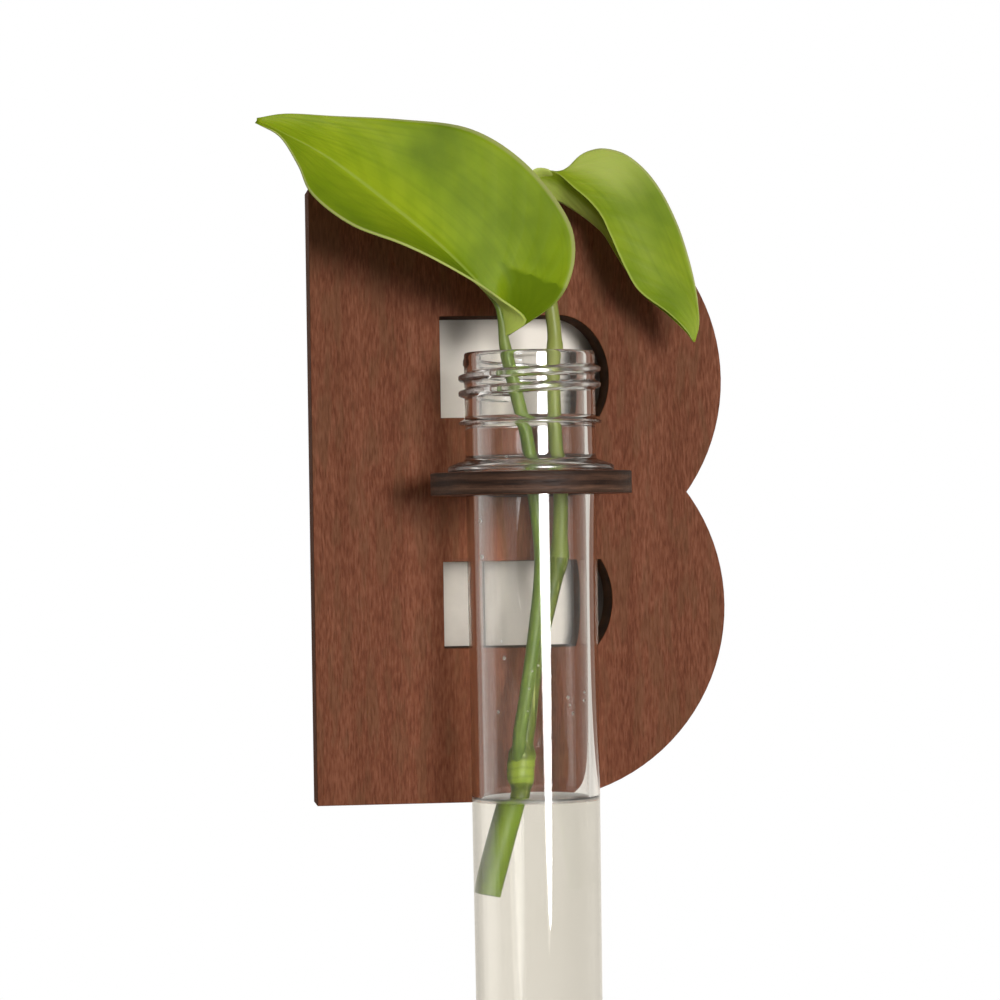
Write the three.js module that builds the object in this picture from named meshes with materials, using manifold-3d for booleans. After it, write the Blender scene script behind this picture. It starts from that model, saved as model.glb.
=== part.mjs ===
// Hydroponic wall planter: a wooden letter board with a round shelf, a clear tube that hangs
// in the shelf by its ledge, water in the tube and a plant cutting that stands in the water.
// Millimetres. X runs to the right, Y into the wall and Z up. The origin lies on the back face
// of the board, in the middle of its width and height.

import * as THREE from 'three';
import { mergeVertices } from 'three/addons/utils/BufferGeometryUtils.js';
import Module from 'manifold-3d';

const wasm = await Module();
wasm.setup();

// Letter board
const boardHeight = 125.4;
const boardWidth = 84.4;
const boardThickness = 12.7;
const bowlRadius = 39.5;
const stemWidth = 26.4;
const topBarHeight = 26.2;
const upperCounterHeight = 20.7;
const lowerCounterHeight = 17.6;
const bottomBarHeight = 31.5;
const counterWidth = 34.6;
const counterRoundReach = 10.2;
const counterRoundHeight = 12.9;
const lowerRoundRise = 9.5;

// Round shelf, tenoned into the middle bar
const shelfDiameter = 40;
const shelfThickness = 4.5;
const shelfLevel = 2;
const shelfReach = 20;
const shelfNeckWidth = 28;
const tenonWidth = 20;
const tenonLength = 9;
const tenonClearance = 0.2;

// Tube: the outside, measured down from the rim of the screw neck
const tubeLength = 150.8;
const tubeWall = 2.1;
const tubeTopDiameter = 26;
const tubeEndDiameter = 25;
const tubeClearance = 0.3;
const neckLength = 23.8;
const neckDiameter = 26;
const neckBore = 21.7;
const boreTaperLength = 6;
const rimRound = 0.5;
const threadDiameter = 28.3;
const threadPitch = 3.1;
const threadTurns = 2.25;
const threadDrop = 1.9;
const threadRoot = 2;
const threadCrest = 0.7;
const threadSink = 0.4;
const threadRunOut = 0.09;
const beadDiameter = 28.4;
const beadDrop = 13.8;
const beadThickness = 1.9;
const beadEdge = 0.5;
const ledgeDiameter = 33;
const ledgeThickness = 2;
const ledgeEdge = 1.2;
const ledgeSlope = 2.2;

// Water
const waterDepth = 60;
const waterGap = 0.3;

// Plant cutting
const stemDiameter = 3.8;
const petioleDiameter = 3;
const leafThickness = 0.5;
const plantGap = 0.3;
const stemEndDrop = 107.6;
const collarDrop = 82.6;
const stemBendDrop = 68.8;
const stemNodeDrop = 40.4;
const petioleForkDrop = 66.8;
const leftKneeDrop = 41.8;
const leftBendDrop = 28.4;
const leftRimDrop = 7.1;
const rightKneeDrop = 28.5;
const rightRimDrop = 5.4;
const petioleWaistDrop = 17.4;
const rightPetioleRise = 7.2;
const largeLeafRise = 2.2;
const smallLeafRise = 32.4;

// Keyhole plates on the back of the top and bottom bars, with their screws
const plateLength = 38;
const plateHeight = 16;
const plateThickness = 1.5;
const plateCorner = 3;
const plateSink = 0.1;
const plateClearance = 0.25;
const keyholeEntry = 8.5;
const keyholeSlot = 4.4;
const keyholeTravel = 5.5;
const headPocketDepth = 6.5;
const headPocketMargin = 0.8;
const screwSpacing = 28;
const screwHeadDiameter = 5.6;
const screwHeadHeight = 1.4;
const screwShank = 2.8;
const screwLength = 9;
const screwTip = 2;
const screwClearance = 0.15;
const recessLength = 3;
const recessWidth = 0.8;
const recessDepth = 0.9;

// Fineness of round surfaces
const boardSides = 96;
const roundSides = 48;
const smallSides = 20;
const arcSteps = 8;
const endSteps = 6;
const threadSteps = 32;
const stalkSides = 6;
const stalkSteps = 20;
const leafSteps = 16;
const bladeSteps = 3;

// Places worked out from the sizes above
const boardLeft = -boardWidth / 2;
const boardTop = boardHeight / 2;
const bowlX = boardLeft + boardWidth - bowlRadius;
const bowlZ = boardTop - bowlRadius;
const shelfTop = shelfLevel + shelfThickness / 2;
const tubeY = -boardThickness - shelfReach;
const rimLevel = neckLength;
const tubeBottom = rimLevel - tubeLength;
const overcut = 1;

function material(colour, roughness, metalness = 0, opacity = 1) {
  return new THREE.MeshStandardMaterial({
    color: colour,
    roughness,
    metalness,
    opacity,
    transparent: opacity < 1,
  });
}

const darkWood = () => material(0x73462f, 0.6);
const scorchedWood = () => material(0x4a3226, 0.7);
const clearPlastic = () => material(0xe4e6e4, 0.08, 0, 0.35);
const clearWater = () => material(0xd6d0c4, 0.05, 0, 0.4);
const stemGreen = () => material(0x86a046, 0.5);
const petioleGreen = () => material(0x97a94f, 0.5);
const largeLeafGreen = () => material(0x7f9a2c, 0.4);
const smallLeafGreen = () => material(0x6f8a24, 0.4);
const zincSteel = () => material(0xb4b7ba, 0.35, 1);
const screwSteel = () => material(0xc4c0b4, 0.3, 1);

// Closed solids from three.js geometry, and geometry from solids
function solid(geometry) {
  const bare = geometry.clone();
  bare.deleteAttribute('normal');
  bare.deleteAttribute('uv');
  const merged = mergeVertices(bare, 1e-4);
  return new wasm.Manifold(new wasm.Mesh({
    numProp: 3,
    vertProperties: new Float32Array(merged.attributes.position.array),
    triVerts: new Uint32Array(merged.index.array),
  }));
}

function geometryOf(body) {
  const mesh = body.getMesh();
  const geometry = new THREE.BufferGeometry();
  geometry.setAttribute('position', new THREE.BufferAttribute(mesh.vertProperties, mesh.numProp));
  geometry.setIndex(new THREE.BufferAttribute(mesh.triVerts, 1));
  geometry.computeVertexNormals();
  return geometry;
}

function piece(name, geometry, look) {
  const mesh = new THREE.Mesh(geometry, look);
  mesh.name = name;
  return mesh;
}

// A box from its least and greatest corners
function block(x0, x1, y0, y1, z0, z1) {
  const geometry = new THREE.BoxGeometry(x1 - x0, y1 - y0, z1 - z0);
  return geometry.translate((x0 + x1) / 2, (y0 + y1) / 2, (z0 + z1) / 2);
}

// A disc that stands upright, its faces along Y
function uprightOval(x, z, reach, height, y0, y1, sides) {
  const geometry = new THREE.CylinderGeometry(1, 1, y1 - y0, sides);
  return geometry.scale(reach, 1, height).translate(x, (y0 + y1) / 2, z);
}

function uprightDisc(x, z, radius, y0, y1, sides) {
  return uprightOval(x, z, radius, radius, y0, y1, sides);
}

// A disc that lies flat, its faces along Z
function flatDisc(x, y, radius, z0, z1, sides) {
  const geometry = new THREE.CylinderGeometry(radius, radius, z1 - z0, sides);
  geometry.rotateX(Math.PI / 2);
  return geometry.translate(x, y, (z0 + z1) / 2);
}

// An outline in X and Z, drawn out from y = front to y = back
function uprightPlate(outline, front, back) {
  const geometry = new THREE.ExtrudeGeometry(outline, {
    depth: back - front,
    bevelEnabled: false,
    curveSegments: arcSteps,
  });
  geometry.rotateX(Math.PI / 2);
  return geometry.translate(0, back, 0);
}

// A profile of [radius, height] points turned about Z
function turned(profile, sides) {
  const points = profile.map(([radius, height]) => new THREE.Vector2(radius, height));
  const geometry = new THREE.LatheGeometry(points, sides);
  return geometry.rotateX(Math.PI / 2);
}

// A closed skin over rings of equal counts, with its first and last rings capped
function loft(rings) {
  const count = rings[0].length;
  const positions = rings.flat().flatMap((point) => [point.x, point.y, point.z]);
  const faces = [];
  for (let ring = 0; ring + 1 < rings.length; ring += 1) {
    for (let side = 0; side < count; side += 1) {
      const next = (side + 1) % count;
      const a = ring * count + side;
      const b = ring * count + next;
      faces.push(a, b, b + count, a, b + count, a + count);
    }
  }
  const last = (rings.length - 1) * count;
  for (let side = 1; side + 1 < count; side += 1) {
    faces.push(0, side + 1, side);
    faces.push(last, last + side, last + side + 1);
  }
  const geometry = new THREE.BufferGeometry();
  geometry.setAttribute('position', new THREE.Float32BufferAttribute(positions, 3));
  geometry.setIndex(faces);
  geometry.computeVertexNormals();
  return geometry;
}

function curveThrough(points) {
  return new THREE.CatmullRomCurve3(points.map(([x, y, z]) => new THREE.Vector3(x, y, z)));
}

// A round stalk along a curve
function stalk(curve, radius) {
  const section = new THREE.Shape().absarc(0, 0, radius, 0, 2 * Math.PI);
  return new THREE.ExtrudeGeometry(section, {
    extrudePath: curve,
    steps: stalkSteps,
    curveSegments: stalkSides,
  });
}

// Keyhole plates and screws: outlines about the middle of a plate

function roundedRectangle(length, height, corner) {
  const x = length / 2 - corner;
  const z = height / 2 - corner;
  const outline = new THREE.Shape();
  outline.absarc(x, z, corner, 0, Math.PI / 2);
  outline.absarc(-x, z, corner, Math.PI / 2, Math.PI);
  outline.absarc(-x, -z, corner, Math.PI, 1.5 * Math.PI);
  outline.absarc(x, -z, corner, 1.5 * Math.PI, 2 * Math.PI);
  outline.closePath();
  return outline;
}

const entryZ = -keyholeTravel / 2;
const slotZ = entryZ + keyholeTravel;

function keyhole() {
  const entry = keyholeEntry / 2;
  const slot = keyholeSlot / 2;
  const half = Math.asin(slot / entry);
  const outline = new THREE.Path();
  outline.absarc(0, slotZ, slot, 0, Math.PI);
  outline.absarc(0, entryZ, entry, Math.PI / 2 + half, 2.5 * Math.PI - half);
  outline.closePath();
  return outline;
}

function headPocket() {
  const radius = keyholeEntry / 2 + headPocketMargin;
  const outline = new THREE.Shape();
  outline.absarc(0, slotZ, radius, 0, Math.PI);
  outline.absarc(0, entryZ, radius, Math.PI, 2 * Math.PI);
  outline.closePath();
  return outline;
}

// A countersunk screw along Y, its head at the wall side; growth widens it for the hole it sits in
function screwBody(x, growth) {
  const head = screwHeadDiameter / 2 + growth;
  const shank = screwShank / 2 + growth;
  const length = screwLength + growth;
  const headTop = -plateSink;
  const profile = [
    [0, -length],
    [shank, -length + screwTip],
    [shank, -screwHeadHeight],
    [head, headTop],
    [0, headTop],
  ];
  if (growth > 0) {
    profile.splice(4, 1, [head, overcut], [0, overcut]);
  }
  const geometry = turned(profile, smallSides);
  geometry.rotateX(-Math.PI / 2);
  return geometry.translate(x, 0, 0);
}

function plateScrew(x) {
  const headTop = -plateSink;
  const across = block(
    x - recessLength / 2, x + recessLength / 2,
    headTop - recessDepth, overcut,
    -recessWidth / 2, recessWidth / 2,
  );
  const upright = block(
    x - recessWidth / 2, x + recessWidth / 2,
    headTop - recessDepth, overcut,
    -recessLength / 2, recessLength / 2,
  );
  return geometryOf(solid(screwBody(x, 0)).subtract(solid(across)).subtract(solid(upright)));
}

const screwPlaces = [-screwSpacing / 2, screwSpacing / 2];
const plateFloor = -plateSink - plateThickness;

function keyholePlate() {
  const outline = roundedRectangle(plateLength, plateHeight, plateCorner);
  outline.holes.push(keyhole());
  let plate = solid(uprightPlate(outline, plateFloor, -plateSink));
  for (const x of screwPlaces) {
    plate = plate.subtract(solid(screwBody(x, screwClearance)));
  }
  return geometryOf(plate);
}

// All that is cut from the board for one plate
function plateCuts() {
  const grown = 2 * plateClearance;
  const seat = roundedRectangle(plateLength + grown, plateHeight + grown, plateCorner + plateClearance);
  let cuts = solid(uprightPlate(seat, plateFloor, overcut));
  cuts = cuts.add(solid(uprightPlate(headPocket(), -headPocketDepth, overcut)));
  for (const x of screwPlaces) {
    cuts = cuts.add(solid(screwBody(x, screwClearance)));
  }
  return geometryOf(cuts);
}

const plateLevels = {
  upper: boardTop - topBarHeight / 2,
  lower: -boardTop + bottomBarHeight / 2,
};

// The letter board

// A counter is a flat band that ends in half an oval
function counter(middle, bottom, top) {
  const left = boardLeft + stemWidth;
  const roundX = left + counterWidth - counterRoundReach;
  const front = -boardThickness - overcut;
  const low = middle - counterRoundHeight;
  const high = middle + counterRoundHeight;
  const straight = block(left, roundX, front, overcut, low, high);
  const round = uprightOval(roundX, middle, counterRoundReach, counterRoundHeight, front, overcut, boardSides);
  const band = block(left, boardLeft + boardWidth, front, overcut, bottom, top);
  return solid(straight).add(solid(round)).intersect(solid(band));
}

function letterBoard() {
  const front = -boardThickness;
  let board = solid(block(boardLeft, bowlX, front, 0, -boardTop, boardTop));
  for (const centre of [bowlZ, -bowlZ]) {
    board = board.add(solid(uprightDisc(bowlX, centre, bowlRadius, front, 0, boardSides)));
  }
  const upperTop = boardTop - topBarHeight;
  const lowerBottom = -boardTop + bottomBarHeight;
  const upperMiddle = upperTop - counterRoundHeight;
  const lowerMiddle = lowerBottom + lowerRoundRise;
  board = board.subtract(counter(upperMiddle, upperTop - upperCounterHeight, upperTop));
  board = board.subtract(counter(lowerMiddle, lowerBottom, lowerBottom + lowerCounterHeight));
  const mortise = block(
    -tenonWidth / 2 - tenonClearance, tenonWidth / 2 + tenonClearance,
    front - overcut, front + tenonLength + tenonClearance,
    shelfLevel - shelfThickness / 2 - tenonClearance, shelfTop + tenonClearance,
  );
  board = board.subtract(solid(mortise));
  for (const level of Object.values(plateLevels)) {
    board = board.subtract(solid(plateCuts().translate(0, 0, level)));
  }
  return geometryOf(board);
}

// The round shelf: a disc with a hole, a neck that meets the board and a tenon inside it
function tubeShelf() {
  const bottom = shelfLevel - shelfThickness / 2;
  const front = -boardThickness;
  const disc = flatDisc(0, tubeY, shelfDiameter / 2, bottom, shelfTop, roundSides);
  const neck = block(-shelfNeckWidth / 2, shelfNeckWidth / 2, tubeY, front, bottom, shelfTop);
  const tenon = block(-tenonWidth / 2, tenonWidth / 2, tubeY, front + tenonLength, bottom, shelfTop);
  const holeRadius = tubeTopDiameter / 2 + tubeClearance;
  const hole = flatDisc(0, tubeY, holeRadius, bottom - overcut, shelfTop + overcut, roundSides);
  return geometryOf(solid(disc).add(solid(neck)).add(solid(tenon)).subtract(solid(hole)));
}

// The tube, its water and the cutting have their own frame: Z from the underside of the ledge,
// which rests on the shelf, and X and Y from the axis of the tube

const endRadius = tubeEndDiameter / 2;
const endCentre = tubeBottom + endRadius;
const boreEnd = endRadius - tubeWall;
const boreTop = tubeTopDiameter / 2 - tubeWall;
const boreTaperEnd = -boreTaperLength;

// The radius of the inside of the tube at a height
function boreRadius(height) {
  if (height >= 0) {
    return neckBore / 2;
  }
  if (height >= boreTaperEnd) {
    return THREE.MathUtils.mapLinear(height, boreTaperEnd, 0, boreAt(boreTaperEnd), neckBore / 2);
  }
  if (height >= endCentre) {
    return boreAt(height);
  }
  return Math.sqrt(Math.max(boreEnd ** 2 - (endCentre - height) ** 2, 0));
}

function boreAt(height) {
  return THREE.MathUtils.mapLinear(height, endCentre, 0, boreEnd, boreTop);
}

// A round end of a tube, from its pole up to its rim
function roundEnd(radius) {
  const points = [];
  for (let step = 0; step <= endSteps; step += 1) {
    const angle = (step / endSteps) * (Math.PI / 2);
    points.push([step === 0 ? 0 : radius * Math.sin(angle), endCentre - radius * Math.cos(angle)]);
  }
  return points;
}

function tubeShell() {
  const neck = neckDiameter / 2;
  const bead = rimLevel - beadDrop;
  const outside = [
    ...roundEnd(endRadius),
    [tubeTopDiameter / 2, 0],
    [ledgeDiameter / 2, 0],
    [ledgeDiameter / 2, ledgeEdge],
    [ledgeDiameter / 2 - ledgeSlope, ledgeThickness],
    [neck, ledgeThickness],
    [neck, bead - beadEdge],
    [beadDiameter / 2, bead - beadEdge],
    [beadDiameter / 2, bead],
    [neck, bead + beadThickness - beadEdge],
    [neck, rimLevel - rimRound],
    [neck - rimRound, rimLevel],
  ];
  const inside = [
    [neckBore / 2, rimLevel],
    [neckBore / 2, 0],
    [boreAt(boreTaperEnd), boreTaperEnd],
    ...roundEnd(boreEnd).reverse(),
  ];
  return turned([...outside, ...inside], roundSides);
}

// The right-hand thread starts on the left of the neck and runs down to its end
function thread() {
  const steps = Math.round(threadTurns * threadSteps);
  const root = neckDiameter / 2 - threadSink;
  const rings = [];
  for (let step = 0; step <= steps; step += 1) {
    const along = step / steps;
    const turn = along * threadTurns * 2 * Math.PI;
    const angle = Math.PI - turn;
    const height = rimLevel - threadDrop - (threadPitch * turn) / (2 * Math.PI);
    const rise = Math.min(along, 1 - along) / threadRunOut;
    const crest = neckDiameter / 2 + ((threadDiameter - neckDiameter) / 2) * Math.min(rise, 1);
    const section = [
      [root, height - threadRoot / 2],
      [crest, height - threadCrest / 2],
      [crest, height + threadCrest / 2],
      [root, height + threadRoot / 2],
    ];
    rings.push(section.map(([radius, z]) => new THREE.Vector3(
      radius * Math.cos(angle), radius * Math.sin(angle), z,
    )));
  }
  return loft(rings);
}

function tube() {
  return geometryOf(solid(tubeShell()).add(solid(thread())));
}

// Places on a stalk inside the tube, as shares of the room that the bore leaves it
function inBore(shareX, shareY, height, radius) {
  const room = boreRadius(height) - radius - plantGap;
  return [shareX * room, shareY * room, height];
}

const stemRadius = stemDiameter / 2;
const petioleRadius = petioleDiameter / 2;
const stemNode = inBore(0.713, 0.396, rimLevel - stemNodeDrop, stemRadius);

const stemCurve = curveThrough([
  inBore(-0.853, 0.341, rimLevel - stemEndDrop, stemRadius),
  inBore(-0.424, 0.424, rimLevel - collarDrop, stemRadius),
  inBore(-0.155, 0.457, rimLevel - stemBendDrop, stemRadius),
  stemNode,
]);

// The left petiole leaves the stem in front of it and leans out over the rim
const forkStem = inBore(-0.136, 0.458, rimLevel - petioleForkDrop, stemRadius);
const forkStep = stemRadius + petioleRadius + plantGap;
const largeLeafBase = [-4.9, -1.2, rimLevel + largeLeafRise];
const leftPetioleCurve = curveThrough([
  [forkStem[0], forkStem[1] - forkStep, forkStem[2]],
  inBore(0.2, 0.05, rimLevel - leftKneeDrop, petioleRadius),
  inBore(0.07, 0.05, rimLevel - leftBendDrop, petioleRadius),
  inBore(-0.07, 0, rimLevel - petioleWaistDrop, petioleRadius),
  inBore(-0.33, -0.05, rimLevel - leftRimDrop, petioleRadius),
  largeLeafBase,
]);

// The right petiole goes on from the top of the stem, behind the large leaf
const smallLeafBase = [1.2, 6.2, rimLevel + smallLeafRise];
const rightPetioleOut = [5.5, 4.9, rimLevel + rightPetioleRise];
const rightPetioleCurve = curveThrough([
  [stemNode[0], stemNode[1], stemNode[2] + plantGap],
  inBore(0.72, 0.44, rimLevel - rightKneeDrop, petioleRadius),
  inBore(0.61, 0.49, rimLevel - petioleWaistDrop, petioleRadius),
  inBore(0.6, 0.5, rimLevel - rightRimDrop, petioleRadius),
  rightPetioleOut,
  smallLeafBase,
]);

// A blade between two edges, with the midrib between them; each cross line dips a little
function leafBlade(midrib, frontEdge, backEdge) {
  const lines = [curveThrough(frontEdge), curveThrough(midrib), curveThrough(backEdge)];
  const rows = [];
  for (let step = 0; step <= leafSteps; step += 1) {
    const [front, middle, back] = lines.map((line) => line.getPointAt(step / leafSteps));
    const row = [];
    for (let part = -bladeSteps; part <= bladeSteps; part += 1) {
      const edge = part < 0 ? front : back;
      row.push(middle.clone().lerp(edge, Math.abs(part) / bladeSteps));
    }
    rows.push(row);
  }
  return loft(rows.map((row, step) => {
    const before = rows[Math.max(step - 1, 0)];
    const after = rows[Math.min(step + 1, leafSteps)];
    const offsets = row.map((point, part) => {
      const along = after[part].clone().sub(before[part]);
      const across = row[Math.min(part + 1, row.length - 1)].clone().sub(row[Math.max(part - 1, 0)]);
      return across.cross(along).setLength(leafThickness / 2);
    });
    const upper = row.map((point, part) => point.clone().add(offsets[part]));
    const under = row.map((point, part) => point.clone().sub(offsets[part]));
    return [...upper, ...under.reverse()];
  }));
}

// The large leaf lies to the left: its rear half faces the viewer, its front half is folded forward
const largeLeafMidrib = [
  [-4.9, -1.2, 26.8],
  [-6.1, -2, 32.9],
  [-10.3, -3, 37.2],
  [-17.8, -4, 44.5],
  [-27, -4.5, 52.2],
  [-40.2, -4, 62.5],
  [-53.4, -2, 69.7],
];
const largeLeafFrontEdge = [
  [-5.7, -1.4, 27.1],
  [-7.2, -7, 33.8],
  [-10.9, -12, 36.6],
  [-17.8, -15.5, 39.9],
  [-26.8, -17, 44.3],
  [-36.3, -15, 48.4],
  [-43.3, -11, 54.2],
  [-45.7, -7, 60.5],
  [-49, -4, 66.7],
  [-53.7, -2.2, 69.3],
];
const largeLeafBackEdge = [
  [-4.1, -1.2, 27.1],
  [0.2, -2, 29.8],
  [6.1, -4, 34.6],
  [9, -4, 42.7],
  [7.5, -3, 50.8],
  [-0.4, -2, 61.2],
  [-11.2, -1, 68.1],
  [-25.1, -1, 70.1],
  [-38.9, -1.2, 70.7],
  [-47.8, -1.6, 71.1],
  [-53.4, -2, 70.2],
];

// The small leaf hangs to the right, with its inner half folded back
const smallLeafMidrib = [
  [1.4, 6.4, 57.2],
  [2.2, 6.8, 60.4],
  [3.9, 6.9, 61],
  [5.9, 6.6, 60.5],
  [7.8, 6, 59.5],
  [10.2, 5, 57.1],
  [13.3, 4.2, 54.2],
  [15.6, 3.6, 51.1],
  [17.1, 3, 47.6],
  [20.1, 2.5, 40.6],
  [22.9, 2.2, 35.9],
  [28.4, 1.6, 31.6],
  [31.7, 1.2, 28.3],
  [33.4, 1, 25.7],
];
const smallLeafFrontEdge = [
  [1.9, 6.6, 57.6],
  [3.4, 8.6, 59.2],
  [5.6, 8.8, 59.8],
  [8, 7.4, 60.2],
  [9.7, 6.6, 61.7],
  [11.5, 6, 63.4],
  [13.7, 5.6, 64.5],
  [16.7, 5, 64.8],
  [20.8, 4.5, 63.5],
  [24.9, 4, 60],
  [28.2, 3.5, 55.2],
  [30.9, 3, 49.2],
  [32.5, 2.4, 43.8],
  [33.7, 2, 38.6],
  [34.4, 1.6, 34.2],
  [34.6, 1.2, 29.1],
  [33.8, 1, 25.7],
];
const smallLeafBackEdge = [
  [0.9, 6.4, 57],
  [1.6, 8, 56.6],
  [3.2, 9.8, 55.9],
  [5.4, 11.2, 55.6],
  [8.5, 12, 54.8],
  [11.5, 11.5, 52.7],
  [14.2, 10.5, 50.4],
  [16.7, 8.5, 47.8],
  [18.2, 6.5, 45.1],
  [20.7, 5, 40.4],
  [23.3, 4, 35.6],
  [28.6, 2.6, 31.3],
  [31.9, 1.7, 28],
  [33.2, 1.2, 25.5],
];

// Water fills the bore up to its level, with a gap to the tube and round the stem
function water() {
  const bottom = endCentre - boreEnd;
  const level = bottom + waterDepth;
  const profile = [
    ...roundEnd(boreEnd - waterGap),
    [boreRadius(level) - waterGap, level],
    [0, level],
  ];
  const displaced = stalk(stemCurve, stemRadius + waterGap);
  return geometryOf(solid(turned(profile, roundSides)).subtract(solid(displaced)));
}

const planter = new THREE.Group();
planter.add(piece('letter_board', letterBoard(), darkWood()));
planter.add(piece('tube_shelf', tubeShelf(), scorchedWood()));

for (const [place, level] of Object.entries(plateLevels)) {
  const hanger = new THREE.Group();
  hanger.position.z = level;
  hanger.add(piece(`keyhole_plate_${place}`, keyholePlate(), zincSteel()));
  for (const x of screwPlaces) {
    const side = x < 0 ? 'left' : 'right';
    hanger.add(piece(`plate_screw_${place}_${side}`, plateScrew(x), screwSteel()));
  }
  planter.add(hanger);
}

const hanging = new THREE.Group();
hanging.position.set(0, tubeY, shelfTop);
hanging.add(piece('tube', tube(), clearPlastic()));
hanging.add(piece('water', water(), clearWater()));
hanging.add(piece('cutting_stem', stalk(stemCurve, stemRadius), stemGreen()));
hanging.add(piece('petiole_left', stalk(leftPetioleCurve, petioleRadius), petioleGreen()));
hanging.add(piece('petiole_right', stalk(rightPetioleCurve, petioleRadius), petioleGreen()));
hanging.add(piece('leaf_left', leafBlade(largeLeafMidrib, largeLeafFrontEdge, largeLeafBackEdge), largeLeafGreen()));
hanging.add(piece('leaf_right', leafBlade(smallLeafMidrib, smallLeafFrontEdge, smallLeafBackEdge), smallLeafGreen()));
planter.add(hanging);

export default planter;
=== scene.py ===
# %% [markdown]
# A wall planter, piece by piece
#
# A wooden letter board hangs on a wall and carries a clear tube of water in a small round shelf.
# A leaf cutting roots in the tube. The construction model already gives every piece its place and
# its size, so this lesson adds what that model leaves plain: rounded edges, fine form and finish.
# Everything is in metres, in the frame of the construction model: X to the right, Y into the wall
# and Z up.

# %% Load the construction model
import math

import bmesh
import bpy
from mathutils import Matrix, Vector


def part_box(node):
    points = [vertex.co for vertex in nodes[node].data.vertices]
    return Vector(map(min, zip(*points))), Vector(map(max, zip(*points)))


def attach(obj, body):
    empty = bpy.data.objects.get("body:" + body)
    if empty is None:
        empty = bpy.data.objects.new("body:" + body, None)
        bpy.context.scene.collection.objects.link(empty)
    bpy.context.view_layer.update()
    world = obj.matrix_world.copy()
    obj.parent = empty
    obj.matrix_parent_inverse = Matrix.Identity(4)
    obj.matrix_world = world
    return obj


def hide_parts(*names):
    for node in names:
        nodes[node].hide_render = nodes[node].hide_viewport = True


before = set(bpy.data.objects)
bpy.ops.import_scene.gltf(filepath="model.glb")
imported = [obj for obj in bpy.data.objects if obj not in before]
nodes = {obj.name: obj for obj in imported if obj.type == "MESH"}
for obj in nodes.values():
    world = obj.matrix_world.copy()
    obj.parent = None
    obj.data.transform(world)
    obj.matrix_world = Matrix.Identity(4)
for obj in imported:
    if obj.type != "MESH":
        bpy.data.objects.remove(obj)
scene = bpy.context.scene
mm = 0.001
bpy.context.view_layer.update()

# %% [markdown]
# The camera stands in front of the planter, a little to its left and level with its middle, and it
# looks slightly to the right. A long lens from this distance keeps the board's edges nearly
# parallel, as in the photograph. The camera's three axes are worked out from its yaw, pitch and
# roll, because a look-at constraint would leave the small roll out.

# %% Camera
camera_place = Vector((-84.0, -715.0, -5.8)) * mm
yaw = math.radians(6.5)
pitch = math.radians(0.38)
roll = math.radians(-0.91)
ahead = Vector((math.sin(yaw) * math.cos(pitch), math.cos(yaw) * math.cos(pitch), math.sin(pitch)))
level_side = ahead.cross(Vector((0, 0, 1))).normalized()
level_up = level_side.cross(ahead)
side = level_side * math.cos(roll) + level_up * math.sin(roll)
up = level_up * math.cos(roll) - level_side * math.sin(roll)

camera_data = bpy.data.cameras.new("camera")
camera_data.sensor_width = 36
camera_data.lens = 124.56
camera_data.clip_start = 0.01
camera = bpy.data.objects.new("camera", camera_data)
scene.collection.objects.link(camera)
camera.matrix_world = Matrix.Translation(camera_place) @ Matrix((side, up, -ahead)).transposed().to_4x4()
scene.camera = camera
scene.view_settings.view_transform = "Standard"
print("camera at", [round(part, 3) for part in camera_place], "with a lens of", camera_data.lens, "mm")

# %% [markdown]
# Materials here are node trees. A few small helpers keep their code readable: one adds a node, two
# feed its sockets with links or plain values, and the others wrap the nodes that come back most
# often. A node or a socket knows the tree that it is in, so a helper needs only one of them to go on
# from. A node group is a set of nodes under one name that several materials share. Colours are
# written as they look on a screen and turned into the linear numbers that shaders work with.

# %% Helpers for materials
def colour(red, green, blue):
    screen = [part / 255 for part in (red, green, blue)]
    linear = [part / 12.92 if part <= 0.04045 else ((part + 0.055) / 1.055) ** 2.4 for part in screen]
    return (*linear, 1.0)


def add_node(near, kind, **settings):
    made = near.id_data.nodes.new("ShaderNode" + kind)
    for setting, value in settings.items():
        setattr(made, setting, value)
    return made


def feed(socket, source):
    if isinstance(source, bpy.types.NodeSocket):
        socket.id_data.links.new(source, socket)
    else:
        socket.default_value = source


def set_inputs(node, values):
    for name, value in values.items():
        feed(node.inputs[name], value)


def vertex_value(near, name):
    return add_node(near, "Attribute", attribute_name=name).outputs["Fac"]


def split(vector):
    made = add_node(vector, "SeparateXYZ")
    feed(made.inputs[0], vector)
    return made.outputs


def stretched(vector, scale):
    made = add_node(vector, "Mapping")
    set_inputs(made, {"Scale": scale, "Vector": vector})
    return made.outputs["Vector"]


def cloudy(vector, scale, detail=2.0, roughness=0.5):
    made = add_node(vector, "TexNoise")
    set_inputs(made, {"Vector": vector, "Scale": scale, "Detail": detail, "Roughness": roughness})
    return made.outputs[0]


def maths(operation, *values):
    made = add_node(values[0], "Math", operation=operation)
    for socket, value in zip(made.inputs, values):
        feed(socket, value)
    return made.outputs[0]


def times(first, second):
    return maths("MULTIPLY", first, second)


def between(value, low, high, to_low=0.0, to_high=1.0):
    made = add_node(value, "MapRange", interpolation_type="SMOOTHSTEP")
    set_inputs(made, {"Value": value, "From Min": low, "From Max": high, "To Min": to_low, "To Max": to_high})
    return made.outputs[0]


def mixed(share, first, second, blend="MIX"):
    linked = share if isinstance(share, bpy.types.NodeSocket) else first
    made = add_node(linked, "Mix", data_type="RGBA", blend_type=blend)
    for index, source in ((0, share), (6, first), (7, second)):
        feed(made.inputs[index], source)
    return made.outputs[2]


def layered(shade, *layers):
    for share, over in layers:
        shade = mixed(share, shade, over)
    return shade


def mixed_shaders(share, first, second):
    made = add_node(share, "MixShader")
    for socket, source in zip(made.inputs, (share, first, second)):
        feed(socket, source)
    return made.outputs[0]


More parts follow.
